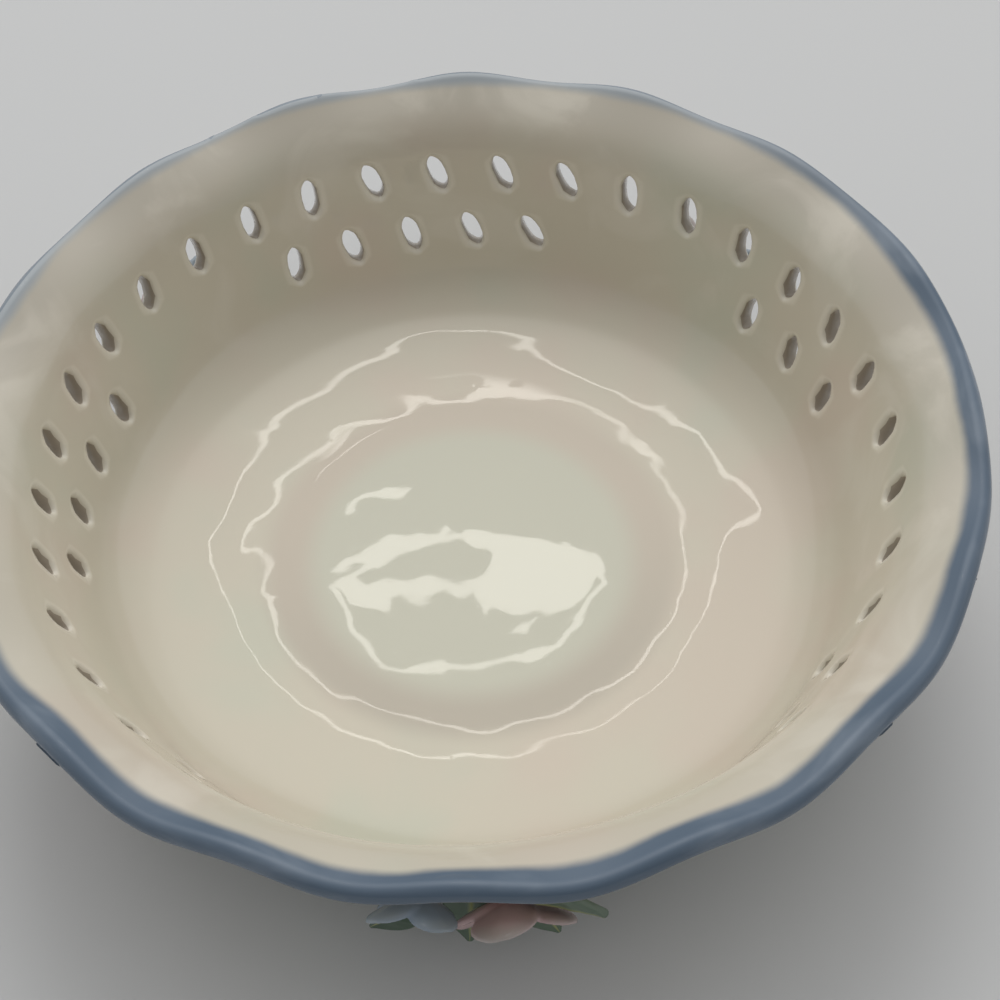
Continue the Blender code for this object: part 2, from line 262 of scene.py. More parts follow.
for row in (0, 1):
    for odd in (0, 1):
        select_faces(bowl, in_cells(row, odd))
        bpy.ops.mesh.inset(thickness=OUTER_INSET, depth=0)
        bpy.ops.mesh.inset(thickness=EDGE_INSET, depth=0)
        bpy.ops.mesh.delete(type="FACE")
        bpy.ops.object.mode_set(mode="OBJECT")
edge_high = CELL_LEVELS / 2 - OUTER_INSET - EDGE_INSET / 2
edge_wide = CELL_COLUMNS / 2 - OUTER_INSET - EDGE_INSET / 2
near_hole = bowl.data.attributes.new("near_hole", "FLOAT", "POINT")
for vertex in bowl.data.vertices:
    row, number = nearest_hole(vertex.co)
    middle = hole_at(row, number)
    corner = vertex.co.xy - middle
    in_width = abs(corner.x) < CELL_COLUMNS / 2 - CELL_MARGIN
    in_height = abs(corner.y) < CELL_LEVELS / 2 - CELL_MARGIN
    if in_width and in_height and is_pierced(row, number):
        at_edge = abs(corner.x) < edge_wide and abs(corner.y) < edge_high
        vertex.co.xy = middle + leaf_cut(row, number, corner, 0.0 if at_edge else EDGE_SPREAD)
        near_hole.data[vertex.index].value = EDGE_MARK if at_edge else SPREAD_MARK

LIP_GROWTH = 1.2
LOOSE_RADIUS = 0.06
SLACK_IN_THREES = 0.00022
SLACK_IN_SEVENS = 0.00014
FLOOR_SWAY = 0.000005
FLOOR_RIPPLE = 0.000004


def bowl_place(column, level):
    """The flat pattern wrapped round the bowl, with the unevenness of hand work.

    The lip's hollows swing out except at the back, the whole lip is a little forward, and it bulges at
    the right.
    """
    angle = HOLE_START + 2 * math.pi * column / COLUMNS
    far = math.sin(angle)
    side = math.cos(angle)
    low = min(int(level), LEVELS - 1)
    spot = section[low].lerp(section[low + 1], level - low)
    wave = math.cos(WAVES * (angle - WAVE_START))
    lip_share = max(0.0, (level - LIP_LEVEL) / (LEVELS - LIP_LEVEL)) ** LIP_GROWTH
    bulge = LIP_BULGE * bell(turn_between(BULGE_MIDDLE, angle), BULGE_SPREAD)
    swing = bulge - LIP_FORWARD * far - WAVE_SWING * wave * (1 - max(0.0, far) ** 4)
    threes = SLACK_IN_THREES * math.sin(3 * angle + 0.7 + level * 0.4)
    sevens = SLACK_IN_SEVENS * math.sin(7 * angle - level * 0.5)
    loose = min(1.0, spot.x / LOOSE_RADIUS) ** 3
    radius = spot.x + loose * (threes + sevens) + swing * lip_share
    dish = dish_rise(spot.x, far, side)
    if level > DISH_LEVEL:
        on_wall = (spot.x - DISH_END) / (RIM_RADIUS - DISH_END)
        dish = (dish - DISH_RISE) * max(0.0, 1 - 2 * on_wall)
    if spot.x > DISH_START:
        dish += FLOOR_SWAY * math.sin(5 * angle + 300 * spot.x)
        dish += FLOOR_RIPPLE * math.sin(17 * angle - 330 * spot.x)
    height = spot.y + WAVE_HEIGHT * lip_share * wave + dish
    return Vector((radius * math.cos(angle), radius * math.sin(angle), height))


SEAM_GAP = 0.00002


def close_seams():
    """Merges the points along a piece's seams and poles and turns its faces outwards."""
    bpy.ops.object.mode_set(mode="EDIT")
    bpy.ops.mesh.select_all(action="SELECT")
    bpy.ops.mesh.remove_doubles(threshold=SEAM_GAP)
    bpy.ops.mesh.normals_make_consistent(inside=False)
    bpy.ops.object.mode_set(mode="OBJECT")


for vertex in bowl.data.vertices:
    vertex.co = bowl_place(vertex.co.x, vertex.co.y)
close_seams()


def apply_modifier(piece, kind, **settings):
    """Adds a modifier, sets it and applies it."""
    bpy.context.view_layer.objects.active = piece
    bpy.ops.object.modifier_add(type=kind)
    made = piece.modifiers[-1]
    for name, value in settings.items():
        setattr(made, name, value)
    bpy.ops.object.modifier_apply(modifier=made.name)


# Solidify counts on from the outside's slot to the inside's and the cut edges'.
BOWL_SIDES = ("outside", "inside", "cut_edge")
for side in BOWL_SIDES:
    bowl.data.materials.append(None)
thick = bowl.vertex_groups.new(name="full_thickness")
for vertex in bowl.data.vertices:
    on_lip = (Vector((vertex.co.xy.length, vertex.co.z)) - WALL_TOP).length / (LIP_END - WALL_TOP).length
    below_lip = vertex.co.z < WALL_TOP.y - WAVE_HEIGHT
    thick.add([vertex.index], 1.0 if below_lip else max(0.0, 1 - on_lip), "REPLACE")
apply_modifier(bowl, "SOLIDIFY", thickness=WALL, offset=0.0, use_even_offset=True,
               use_quality_normals=True, material_offset=1, material_offset_rim=2,
               vertex_group="full_thickness", thickness_vertex_group=LIP_THIN)


def along_lip(point):
    """How far a point lies beyond the end of the lip's middle line."""
    return LIP_OUT.dot(Vector((point.xy.length, point.z)) - LIP_END)


bpy.ops.object.mode_set(mode="EDIT")
bpy.ops.mesh.select_mode(type="EDGE")
bpy.ops.mesh.select_all(action="DESELECT")
bpy.ops.object.mode_set(mode="OBJECT")
for edge in bowl.data.edges:
    ends = [bowl.data.vertices[i].co for i in edge.vertices]
    round_the_rim = abs(ends[0].z - ends[1].z) < WALL / 3
    edge.select = round_the_rim and min(along_lip(end) for end in ends) > LIP_CAP / 2
bpy.ops.object.mode_set(mode="EDIT")
bpy.ops.mesh.bevel(offset=LIP_ROUND, segments=2, affect="EDGES")
bpy.ops.object.mode_set(mode="OBJECT")
apply_modifier(bowl, "SUBSURF", levels=1, render_levels=1)
bpy.ops.object.shade_smooth()


def feed(tree, socket, value):
    """Links a socket to another node's output, or sets it to a value."""
    if isinstance(value, bpy.types.NodeSocket):
        tree.links.new(value, socket)
    else:
        socket.default_value = value


def add_node(tree, kind, settings=None, **inputs):
    """A shader node; each input is set to a value or linked to another node's output."""
    made = tree.nodes.new(kind)
    for name, value in (settings or {}).items():
        setattr(made, name, value)
    for name, value in inputs.items():
        feed(tree, made.inputs[name.replace("_", " ")], value)
    return made


def calculate(tree, operation, first, second=0.0):
    """A Math node's output."""
    made = add_node(tree, "ShaderNodeMath", {"operation": operation})
    for socket, value in zip(made.inputs, (first, second)):
        feed(tree, socket, value)
    return made.outputs[0]


def calculate_vector(tree, operation, *vectors):
    """A Vector Math node's outputs."""
    made = add_node(tree, "ShaderNodeVectorMath", {"operation": operation})
    for socket, value in zip(made.inputs, vectors):
        feed(tree, socket, value)
    return made.outputs


def blend(tree, share, low, high):
    """A colour between two others, by share; a Mix node has its colours on inputs 6 and 7 and output 2."""
    made = add_node(tree, "ShaderNodeMix", {"data_type": "RGBA"})
    for number, value in ((0, share), (6, low), (7, high)):
        feed(tree, made.inputs[number], (*value, 1.0) if isinstance(value, tuple) else value)
    return made.outputs[2]


def soft_step(tree, value, low, high):
    """0 up to low and 1 from high on, with a smooth change between; low may be the larger one."""
    made = add_node(tree, "ShaderNodeMapRange", {"interpolation_type": "SMOOTHSTEP"}, Value=value,
                    From_Min=low, From_Max=high)
    return made.outputs["Result"]


PINHOLE_EDGE = (0.02, 0.07)
PINHOLE_DEPTH = 0.04
CLOUD_DEPTH = 0.06
DULL_CLOUD = (0.3, 0.8)


def kiln_variation_group():
    """Unevenness that every glaze here has: pooled colour, pinholes, dulled patches, a wavy surface."""
    group = bpy.data.node_groups.new("kiln_variation", "ShaderNodeTree")
    place = group.interface.new_socket("Place", in_out="INPUT", socket_type="NodeSocketVector")
    place.hide_value = True
    for name in ("Pooling", "Cloud", "Pinhole", "Dullness", "Surface"):
        group.interface.new_socket(name, in_out="OUTPUT", socket_type="NodeSocketFloat")
    given = group.nodes.new("NodeGroupInput").outputs["Place"]
    out = group.nodes.new("NodeGroupOutput")
    pooling = add_node(group, "ShaderNodeTexNoise", Vector=given, Scale=34.0, Detail=2.0)
    cloud = add_node(group, "ShaderNodeTexNoise", Vector=given, Scale=150.0, Detail=4.0)
    waves = add_node(group, "ShaderNodeTexNoise", Vector=given, Scale=75.0, Detail=1.5)
    pits = add_node(group, "ShaderNodeTexVoronoi", Vector=given, Scale=210.0, Randomness=1.0)
    pinhole = calculate(group, "SUBTRACT", 1.0, soft_step(group, pits.outputs["Distance"], *PINHOLE_EDGE))
    surface = calculate(group, "ADD", waves.outputs["Fac"],
                        calculate(group, "MULTIPLY", cloud.outputs["Fac"], CLOUD_DEPTH))
    for name, value in (("Pooling", pooling.outputs["Fac"]), ("Cloud", cloud.outputs["Fac"]),
                        ("Pinhole", pinhole), ("Surface", surface)):
        group.links.new(value, out.inputs[name])
    group.links.new(soft_step(group, cloud.outputs["Fac"], *DULL_CLOUD), out.inputs["Dullness"])
    return group


kiln_variation = kiln_variation_group()


def new_glaze(name):
    """A material with its shader, object coordinates and the kiln's unevenness ready to use."""
    made = bpy.data.materials.new(name)
    made.use_nodes = True
    tree = made.node_tree
    place = add_node(tree, "ShaderNodeTexCoord").outputs["Object"]
    uneven = add_node(tree, "ShaderNodeGroup", {"node_tree": kiln_variation}, Place=place)
    return made, tree, tree.nodes["Principled BSDF"], place, uneven.outputs


def finish_glaze(tree, shader, uneven, colour, gloss, dull, wave):
    """Links a glaze's colour, its roughness between gloss and dull, and its wavy surface."""
    tree.links.new(colour, shader.inputs["Base Color"])
    rough = add_node(tree, "ShaderNodeMapRange", Value=uneven["Dullness"], To_Min=gloss, To_Max=dull)
    tree.links.new(rough.outputs["Result"], shader.inputs["Roughness"])
    height = calculate(tree, "SUBTRACT", uneven["Surface"],
                       calculate(tree, "MULTIPLY", uneven["Pinhole"], PINHOLE_DEPTH))
    bump = add_node(tree, "ShaderNodeBump", Height=height, Strength=1.0, Distance=wave)
    tree.links.new(bump.outputs["Normal"], shader.inputs["Normal"])


CREAM = (0.577, 0.533, 0.429)
CREAM_PINK = (0.585, 0.515, 0.42)
CREAM_GREEN = (0.545, 0.535, 0.43)
DISC_GREEN = (0.54, 0.53, 0.43)
RING_PINK = (0.545, 0.48, 0.39)
# Darker ring colour for the near side of the floor: painted shade.
RING_NEAR_SHADE = (0.47, 0.425, 0.345)
# Darker cream for the inside of the lip: painted shade.
CREAM_LIP_SHADE = (0.46, 0.425, 0.355)
CREAM_PALE = (0.66, 0.62, 0.53)
# Pale cream round the holes: partly glaze paling at the edges, partly a painted highlight.
CREAM_HALO = (0.78, 0.74, 0.64)
# Dark brown for the cut faces: painted shade in the depth of the holes.
HOLE_SHADE_BROWN = (0.37, 0.32, 0.26)
LIP_BLUE = (0.085, 0.122, 0.170)
LIP_LAVENDER = (0.15, 0.19, 0.24)
# Pale blue for the lip's far side: a painted sheen.
LIP_SHEEN_PALE = (0.33, 0.36, 0.38)
TEAL_WASH = (0.33, 0.42, 0.42)
LIP_WIDE_SIDE = Vector((0.45, -0.89, 0.0))
LIP_WAY_OUT = Vector((0.75, 0.66))
LIP_WIDE_EDGE = (-0.05, 0.03)
LIP_SHEEN_EDGE = (0.02, -0.06)
STREAK_EDGE = (0.45, 0.75)
CLOUD_MIDDLE = 0.5
FINE_SHARE = 0.25
OUTER_LIP = dict(Brush=0.006, Start=-0.0075, End=-0.0003, Widen=0.0, Paleness=0.5)
INNER_LIP = dict(Brush=0.0025, Start=-0.0016, End=0.0003, Widen=0.0011, Paleness=1.0)


def from_axis(tree, parts):
    """Distance of a point from the bowl's axis."""
    flat = add_node(tree, "ShaderNodeCombineXYZ", X=parts["X"], Y=parts["Y"]).outputs["Vector"]
    return calculate_vector(tree, "LENGTH", flat)["Value"]


def brushed_lip_group():
    """Blue brushed on the lip: how much of it covers a point, and its colour, paler at the back as a painted
    sheen.
    """
    group = bpy.data.node_groups.new("brushed_lip", "ShaderNodeTree")
    group.interface.new_socket("Place", in_out="INPUT", socket_type="NodeSocketVector")
    for name in ("Pooling", "Cloud", "Brush", "Start", "End", "Widen", "Paleness"):
        group.interface.new_socket(name, in_out="INPUT", socket_type="NodeSocketFloat")
    group.interface.new_socket("Cover", in_out="OUTPUT", socket_type="NodeSocketFloat")
    group.interface.new_socket("Blue", in_out="OUTPUT", socket_type="NodeSocketColor")
    given = group.nodes.new("NodeGroupInput").outputs
    out = group.nodes.new("NodeGroupOutput")
    parts = add_node(group, "ShaderNodeSeparateXYZ", Vector=given["Place"]).outputs
    radius = from_axis(group, parts)
    across = calculate(group, "MULTIPLY", calculate(group, "SUBTRACT", radius, LIP_END.x), LIP_WAY_OUT.x)
    up = calculate(group, "MULTIPLY", calculate(group, "SUBTRACT", parts["Z"], LIP_END.y), LIP_WAY_OUT.y)
    broad = calculate(group, "SUBTRACT", given["Pooling"], CLOUD_MIDDLE)
    fine = calculate(group, "SUBTRACT", given["Cloud"], CLOUD_MIDDLE)
    strokes = calculate(group, "ADD", broad, calculate(group, "MULTIPLY", fine, FINE_SHARE))
    ragged = calculate(group, "MULTIPLY", strokes, given["Brush"])
    facing = calculate_vector(group, "DOT_PRODUCT", given["Place"], LIP_WIDE_SIDE)["Value"]
    wide = calculate(group, "MULTIPLY", soft_step(group, facing, *LIP_WIDE_EDGE), given["Widen"])
    brushed_on = calculate(group, "ADD", ragged, wide)
    reach = calculate(group, "ADD", calculate(group, "ADD", across, up), brushed_on)
    cover = add_node(group, "ShaderNodeMapRange", {"interpolation_type": "SMOOTHSTEP"}, Value=reach,
                     From_Min=given["Start"], From_Max=given["End"])
    stretched = add_node(group, "ShaderNodeMapping", Vector=given["Place"], Scale=(1.0, 1.0, 5.0))
    streaks = add_node(group, "ShaderNodeTexNoise", Vector=stretched.outputs["Vector"], Scale=60.0,
                       Detail=3.0)
    streak = soft_step(group, streaks.outputs["Fac"], *STREAK_EDGE)
    group.links.new(cover.outputs["Result"], out.inputs["Cover"])
    # Painted sheen: the blue turns paler towards the back, on the side that faces the light.
    thin = calculate(group, "MULTIPLY", soft_step(group, facing, *LIP_SHEEN_EDGE), given["Paleness"])
    blue = blend(group, thin, blend(group, streak, LIP_BLUE, LIP_LAVENDER), LIP_SHEEN_PALE)
    group.links.new(blue, out.inputs["Blue"])
    return group


brushed_lip = brushed_lip_group()

# Where each colour of the bowl fades in, from none to full: by radius, height or Y, or by a cloud's tone.
PINK_CLOUD = (0.5, 0.68)
GREEN_CLOUD = (0.48, 0.32)
WASH_EDGE = (0.030, 0.012)
WASH_CLOUD = (0.3, 0.7)
RING_SHADE = (0.015, -0.03)
RING_EDGE = (0.037, 0.032)
DISC_EDGE = (0.030, 0.024)
LIP_SHADE_EDGE = (0.066, 0.074)
MOTTLE_CLOUD = (0.50, 0.68)
MOTTLE_EDGE = (0.054, 0.066)
HALO_EDGE = (0.62, 0.95)
# The most that a colour covers, the least and most roughness of the glaze, and the height of its waves.
MOTTLE_SHARE = 0.4
HALO_SHARE = 0.45
HOLE_SHADE_SHARE = 0.9
GLOSS = 0.012
DULL = 0.03
BOWL_WAVE = 0.00004


def inside_colour(tree, place, parts, colour):
    """The inside: a green disc, a pink ring and lip with painted shade, mottle, pale hole edges partly a
    painted highlight.
    """
    radius = from_axis(tree, parts)
    # Painted shade: the pink ring turns darker towards the front.
    ring = blend(tree, soft_step(tree, parts["Y"], *RING_SHADE), RING_PINK, RING_NEAR_SHADE)
    colour = blend(tree, soft_step(tree, radius, *RING_EDGE), colour, ring)
    colour = blend(tree, soft_step(tree, radius, *DISC_EDGE), colour, DISC_GREEN)
    # Painted shade: the inside of the lip is darkened, fully at the back and less towards the front.
    far = add_node(tree, "ShaderNodeMapRange", Value=parts["Y"], From_Min=-0.05, From_Max=0.02, To_Min=0.4)
    thin = calculate(tree, "MULTIPLY", soft_step(tree, radius, *LIP_SHADE_EDGE), far.outputs["Result"])
    colour = blend(tree, thin, colour, CREAM_LIP_SHADE)
    mottle = add_node(tree, "ShaderNodeTexNoise", Vector=place, Scale=55.0, Detail=5.0, Distortion=0.8)
    pale = soft_step(tree, mottle.outputs["Fac"], *MOTTLE_CLOUD)
    pale = calculate(tree, "MULTIPLY", pale, soft_step(tree, radius, *MOTTLE_EDGE))
    colour = blend(tree, calculate(tree, "MULTIPLY", pale, MOTTLE_SHARE), colour, CREAM_PALE)
    # Pale rims round the holes: partly glaze paling at the edges, partly a painted highlight.
    edge = add_node(tree, "ShaderNodeAttribute", {"attribute_name": "near_hole"}).outputs["Fac"]
    halo = calculate(tree, "MULTIPLY", soft_step(tree, edge, *HALO_EDGE), HALO_SHARE)
    return blend(tree, halo, colour, CREAM_HALO)


def bowl_glaze(side):
    """Cream glaze with clouds of pink and green, and the blue lip.

    Outside it has a teal wash low down; inside it is mottled on the wall and pale round the holes, partly as
    a painted highlight, and darkened on the lip and the ring's near side as painted shade; where the clay
    was cut it is painted dark brown, as shade in the holes.
    """
    made, tree, shader, place, uneven = new_glaze(f"bowl_{side}_glaze")
    colour = blend(tree, soft_step(tree, uneven["Pooling"], *PINK_CLOUD), CREAM, CREAM_PINK)
    colour = blend(tree, soft_step(tree, uneven["Pooling"], *GREEN_CLOUD), colour, CREAM_GREEN)
    parts = add_node(tree, "ShaderNodeSeparateXYZ", Vector=place).outputs
    if side == "outside":
        low = soft_step(tree, parts["Z"], *WASH_EDGE)
        wash = calculate(tree, "MULTIPLY", low, soft_step(tree, uneven["Cloud"], *WASH_CLOUD))
        colour = blend(tree, wash, colour, TEAL_WASH)
    elif side == "inside":
        colour = inside_colour(tree, place, parts, colour)
    else:
        # The cut faces are painted dark brown: painted shade in the depth of the holes.
        colour = blend(tree, HOLE_SHADE_SHARE, colour, HOLE_SHADE_BROWN)
    lip = INNER_LIP if side == "inside" else OUTER_LIP
    brushed = add_node(tree, "ShaderNodeGroup", {"node_tree": brushed_lip}, Place=place,
                       Pooling=uneven["Pooling"], Cloud=uneven["Cloud"], **lip).outputs
    colour = blend(tree, brushed["Cover"], colour, brushed["Blue"])
    finish_glaze(tree, shader, uneven, colour, GLOSS, DULL, BOWL_WAVE)
    return made


for number, side in enumerate(BOWL_SIDES):
    bowl.data.materials[number] = bowl_glaze(side)
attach(bowl, "root")
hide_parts("bowl_body")


# The foot: a low turned ring of the same clay, luted under the floor and glazed all but its resting edge.
# It is turned as a collar that narrows downwards, and its edges are sponged round.
FOOT_RADIUS = 0.034
FOOT_WIDTH = 0.006
FOOT_TAPER = 0.0009
FOOT_TOP = 0.0076
FOOT_ROUND = 0.0011
FOOT_STEPS = 120
BARE_CLAY = (0.50, 0.42, 0.33)
BARE_EDGE = (0.0016, 0.0013)
BARE_RAGGED = 0.0012
BARE_ROUGH = 0.7
FOOT_CLOUD = (0.35, 0.65)
FOOT_WAVE = 0.0001
deselect_all()
foot_middle = FOOT_RADIUS - FOOT_WIDTH / 2
bpy.ops.mesh.primitive_plane_add(size=1, location=(foot_middle, 0.0, FOOT_TOP / 2),
                                 rotation=(math.pi / 2, 0.0, 0.0))
foot = start_piece("turned_foot")
foot.scale = (FOOT_WIDTH, FOOT_TOP, 1.0)
bpy.ops.object.transform_apply(location=True, rotation=True, scale=True)
for vertex in foot.data.vertices:
    if vertex.co.z < FOOT_TOP / 2:
        vertex.co.x += math.copysign(FOOT_TAPER, foot_middle - vertex.co.x)
bpy.ops.object.mode_set(mode="EDIT")
bpy.ops.mesh.select_all(action="SELECT")
bpy.ops.mesh.bevel(offset=FOOT_ROUND, segments=4, affect="VERTICES")
bpy.ops.mesh.select_all(action="SELECT")
bpy.ops.mesh.delete(type="ONLY_FACE")
bpy.ops.mesh.select_all(action="SELECT")
bpy.ops.mesh.spin(steps=FOOT_STEPS, angle=2 * math.pi, center=(0.0, 0.0, 0.0), axis=(0.0, 0.0, 1.0))
close_seams()
bpy.ops.object.shade_smooth()

foot_glaze, tree, shader, place, uneven = new_glaze("foot_glaze")
height = add_node(tree, "ShaderNodeSeparateXYZ", Vector=place).outputs["Z"]
ragged_height = calculate(tree, "ADD", height, calculate(tree, "MULTIPLY", uneven["Cloud"], BARE_RAGGED))
bare = soft_step(tree, ragged_height, *BARE_EDGE)
glazed_foot = blend(tree, soft_step(tree, uneven["Pooling"], *FOOT_CLOUD), CREAM_GREEN, CREAM)
finish_glaze(tree, shader, uneven, blend(tree, bare, glazed_foot, BARE_CLAY), GLOSS, DULL, FOOT_WAVE)
bare_rough = add_node(tree, "ShaderNodeMapRange", Value=bare, To_Min=DULL, To_Max=BARE_ROUGH)
tree.links.new(bare_rough.outputs["Result"], shader.inputs["Roughness"])
foot.data.materials.append(foot_glaze)
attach(foot, "root")
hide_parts("foot_ring")


# The flowers: five petals pinched from flattened balls of clay, pressed together on a short stub and
# luted on the wall with slip. Each posy has a pale blue one and a pink one. They are modelled flat, with
# the wall as the ground, and then laid on the bowl's outer skin.
POSY_DROP = 0.003
CORE_HEIGHT = 0.0026
SEAT_DEPTH = 0.0006
PETALS = 5
FLOWERS = (
    dict(name="blue", along=-0.0122, up=0.0016, radius=0.0080, lift=0.0050, core=0.0026,
         turn=math.radians(54), width=0.43, point=0.10, button=0.0020,
         heart=(0.11, 0.16, 0.27), body=(0.24, 0.30, 0.38), edge=(0.36, 0.41, 0.45)),
    dict(name="pink", along=0.0010, up=-0.0020, radius=0.0104, lift=0.0060, core=0.0031,
         turn=math.radians(103), width=0.43, point=0.35, button=0.0024,
         heart=(0.38, 0.18, 0.18), body=(0.50, 0.35, 0.35), edge=(0.46, 0.42, 0.40)),
)
LOWER_PETALS_SHORT = 0.5
SKIN_STEPS = 40


def outer_skin():
    """Points and normals of the bowl's outer skin in section, from the floor's edge to the wall's top."""
    middle = [belly_point(step / SKIN_STEPS) for step in range(SKIN_STEPS)]
    middle += [WALL_BOTTOM, LOWER_ROW, UPPER_ROW, WALL_TOP]
    line = []
    for number, point in enumerate(middle):
        before, after = middle[max(number - 1, 0)], middle[min(number + 1, len(middle) - 1)]
        along = (after - before).normalized()
        normal = Vector((along.y, -along.x))
        line.append((point + normal * (WALL / 2), normal))
    return line


skin_line = outer_skin()
skin_lengths = [0.0]
for low, high in zip(skin_line, skin_line[1:]):
    skin_lengths.append(skin_lengths[-1] + (high[0] - low[0]).length)
POSY_LENGTH = skin_lengths[SKIN_STEPS + 1] - POSY_DROP


def skin_spot(length):
    """Section point and normal at a length along the outer skin."""
    number = 0
    while number < len(skin_line) - 2 and skin_lengths[number + 1] < length:
        number += 1
    share = (length - skin_lengths[number]) / (skin_lengths[number + 1] - skin_lengths[number])
    (low, low_normal), (high, high_normal) = skin_line[number], skin_line[number + 1]
    return low.lerp(high, share), low_normal.lerp(high_normal, share).normalized()


POSY_RADIUS = skin_spot(POSY_LENGTH)[0].x


def lay_on_wall(piece, along, up, turn=0.0):
    """Lays a flat-modelled piece on the wall at angle 0, from the posy's own place."""
    for vertex in piece.data.vertices:
        x, y, height = vertex.co
        spot, normal = skin_spot(POSY_LENGTH + up + x * math.sin(turn) + y * math.cos(turn))
        angle = HOLE_START + (along + x * math.cos(turn) - y * math.sin(turn)) / POSY_RADIUS
        spot = spot + normal * height
        vertex.co = (spot.x * math.cos(angle), spot.x * math.sin(angle), spot.y)


def give_each_posy(model, name, material):
    """A copy of a modelled piece for each posy, turned to its place; the model itself is removed."""
    for number, posy in enumerate(POSY_ANGLES, start=1):
        mesh = model.data.copy()
        mesh.transform(Matrix.Rotation(posy, 4, "Z"))
        mesh.materials.append(material)
        piece = bpy.data.objects.new(f"glazed_{name}_{number}", mesh)
        scene.collection.objects.link(piece)
        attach(piece, "root")
        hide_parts(f"{name}_{number}")
    bpy.data.objects.remove(model)


def add_ball(segments, rings):
    """A round lump of clay to shape."""
    deselect_all()
    bpy.ops.mesh.primitive_uv_sphere_add(segments=segments, ring_count=rings, radius=1.0)
    return bpy.context.object


def join_pieces(pieces, name):
    """Joins separate lumps of clay into one piece."""
    deselect_all()
    for piece in pieces:
        piece.select_set(True)
    bpy.context.view_layer.objects.active = pieces[0]
    bpy.ops.object.join()
    return start_piece(name)


PETAL_MIDDLE = 0.53
PETAL_HALF = 0.47
PETAL_FLARE = 0.22
PETAL_ROOT = 0.0009
PETAL_BEND = 1.35
PETAL_HALF_THICK = 0.00085
PETAL_BLUNT = 0.55
PETAL_SWERVE = math.radians(3)
PETAL_UNEVEN = 0.08
CREASE_DEPTH = 0.00045
CREASE_WIDTH = 0.16
CREASE_BELOW = 0.4
CUP_DEPTH = 0.0007
CUP_TILT = 0.0004
STUB_FOOT = 0.95
STUB_TOP = 1.15


def petal(kind, number):
    """One petal: a flattened ball drawn out from the flower's middle, creased, cupped and lifted."""
    made = add_ball(segments=32, rings=20)
    turn = kind["turn"] + 2 * math.pi * number / PETALS + PETAL_SWERVE * math.sin(5 * number)
    full = 1 - LOWER_PETALS_SHORT * (1 - math.sin(turn)) / 2
    radius = kind["radius"] * full
    lift = kind["lift"] * full**2 * (1 + PETAL_UNEVEN * math.sin(3 * number + 1))
    for vertex in made.data.vertices:
        out, across, thick = vertex.co
        reach = radius * (PETAL_MIDDLE + PETAL_HALF * out)
        narrow = (1 + PETAL_FLARE * out) * (1 - kind["point"] * max(0.0, out) ** 2)
        side = radius * kind["width"] * across * narrow
        middle = CORE_HEIGHT - PETAL_ROOT + lift * max(0.0, reach / radius) ** PETAL_BEND
        crease = CREASE_DEPTH * bell(across, CREASE_WIDTH) * (1 - max(0.0, out) ** 4)
        cup = CUP_DEPTH * across * across + CUP_TILT * across
        half = PETAL_HALF_THICK * math.copysign(abs(thick) ** PETAL_BLUNT, thick)
        height = middle + cup - crease * (1 if thick > 0 else CREASE_BELOW) + half
        vertex.co = (reach * math.cos(turn) - side * math.sin(turn),
                     reach * math.sin(turn) + side * math.cos(turn), height)
    return made


def flower_stub(kind):
    """The short stub that carries the petals, sunk a little into the slip on the wall."""
    deselect_all()
    bpy.ops.mesh.primitive_cone_add(vertices=32, radius1=kind["core"] * STUB_FOOT,
                                    radius2=kind["core"] * STUB_TOP, depth=CORE_HEIGHT + SEAT_DEPTH)
    made = bpy.context.object
    bpy.ops.object.mode_set(mode="EDIT")
    bpy.ops.transform.translate(value=(0.0, 0.0, (CORE_HEIGHT - SEAT_DEPTH) / 2))
    bpy.ops.object.mode_set(mode="OBJECT")
    return made


def mark_from_middle(piece, radius):
    """Stores how far each point lies from the flower's middle, for the colour that fades outwards."""
    fade = piece.data.attributes.new("from_middle", "FLOAT", "POINT")
    fade.data.foreach_set("value", [vertex.co.xy.length / radius for vertex in piece.data.vertices])


PETAL_RAGGED = 0.3
HEART_EDGE = (0.35, 0.72)
WORN_EDGE = (0.85, 1.2)
POSY_DULL = DULL * 2
POSY_WAVE = 0.00008


def petal_glaze(kind):
    """Thin coloured glaze, deep at the flower's heart and worn pale on the petals' edges."""
    made, tree, shader, place, uneven = new_glaze(f"{kind['name']}_petal_glaze")
    fade = add_node(tree, "ShaderNodeAttribute", {"attribute_name": "from_middle"}).outputs["Fac"]
    ragged = calculate(tree, "ADD", fade, calculate(tree, "MULTIPLY", uneven["Cloud"], PETAL_RAGGED))
    colour = blend(tree, soft_step(tree, ragged, *HEART_EDGE), kind["heart"], kind["body"])
    colour = blend(tree, soft_step(tree, ragged, *WORN_EDGE), colour, kind["edge"])
    finish_glaze(tree, shader, uneven, colour, GLOSS, POSY_DULL, POSY_WAVE)
    return made


PETAL_VOXEL = 0.00028
for kind in FLOWERS:
    lumps = [petal(kind, number) for number in range(PETALS)] + [flower_stub(kind)]
    flower = join_pieces(lumps, "pinched_flower")
    apply_modifier(flower, "REMESH", mode="VOXEL", voxel_size=PETAL_VOXEL)
    apply_modifier(flower, "SMOOTH", factor=0.5, iterations=3)
    bpy.ops.object.shade_smooth()
    mark_from_middle(flower, kind["radius"])
    lay_on_wall(flower, kind["along"], kind["up"])
    give_each_posy(flower, f"{kind['name']}_flower", petal_glaze(kind))


# The buttons: a bead of clay with a ring of small beads round it, pressed into the flower's heart and
# touched with yellow.
BEADS = 7
BUTTON_LIFT = 0.0002
MIDDLE_BEAD = 0.62
MIDDLE_RAISED = 0.25
SMALL_BEAD = 0.38
BEAD_RING = 0.66
BUTTON_VOXEL = 0.00018
YELLOW = (0.72, 0.55, 0.20)
YELLOW_BROWN = (0.42, 0.26, 0.07)
YELLOW_CLOUD = (0.35, 0.62)


